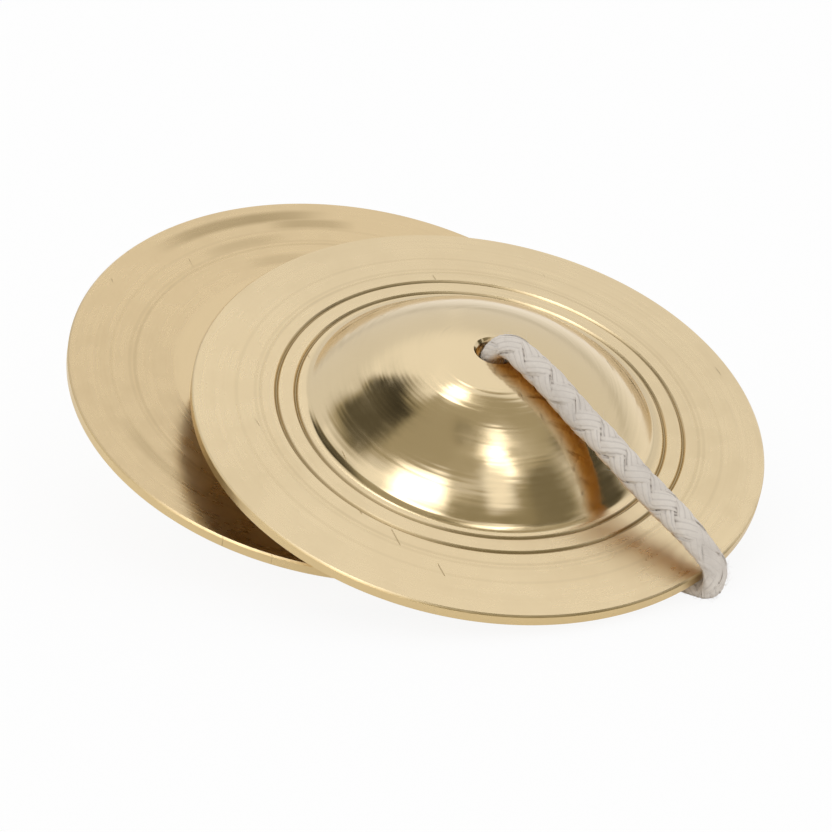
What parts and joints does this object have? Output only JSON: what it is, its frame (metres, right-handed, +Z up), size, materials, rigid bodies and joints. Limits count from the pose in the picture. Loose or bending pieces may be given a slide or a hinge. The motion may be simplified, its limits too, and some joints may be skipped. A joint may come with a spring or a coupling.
{
  "type": "pair of manjira cymbals",
  "caption": "Pair of small brass hand cymbals with raised bells, tied to the ends of one plaited cotton cord, lying one over the other with the cord between them.",
  "frame": {"origin": "on the table, under the middle of the two rims", "axes": "+Z up, +X to the right and -Y towards the viewer, as the picture shows the pair"},
  "size_m": [0.097, 0.0884, 0.0326],
  "materials": {
    "turned_brass": "satin, turned on a lathe, bell polished",
    "cotton_cord": "plaited natural cotton, slightly fuzzy"
  },
  "bodies": {
    "cord": {"cord_between": "cotton_cord", "cord_under_lower": "cotton_cord", "cord_under_bell": "cotton_cord", "lower_knot": "cotton_cord"},
    "lower_cymbal": {"lower_cymbal": "turned_brass"},
    "upper_end": {"cord_over_bell": "cotton_cord", "cord_under_rim": "cotton_cord", "upper_knot": "cotton_cord"},
    "upper_cymbal": {"upper_cymbal": "turned_brass"}
  },
  "joints": [
    {"name": "lower_cymbal_spin", "type": "hinge", "parent": "cord", "child": "lower_cymbal", "pos_m": [-0.00878, 0.00597, 0.01791], "axis": [0.1592, -0.3337, 0.9291], "continuous": true},
    {"name": "upper_lift", "type": "slide", "parent": "cord", "child": "upper_end", "axis": [0.1592, -0.3337, 0.9291], "range_m": [0, 0.04]},
    {"name": "upper_cymbal_spin", "type": "hinge", "parent": "upper_end", "child": "upper_cymbal", "pos_m": [0.00878, -0.00597, 0.01545], "axis": [0.1592, -0.3337, 0.9291], "continuous": true}
  ]
}
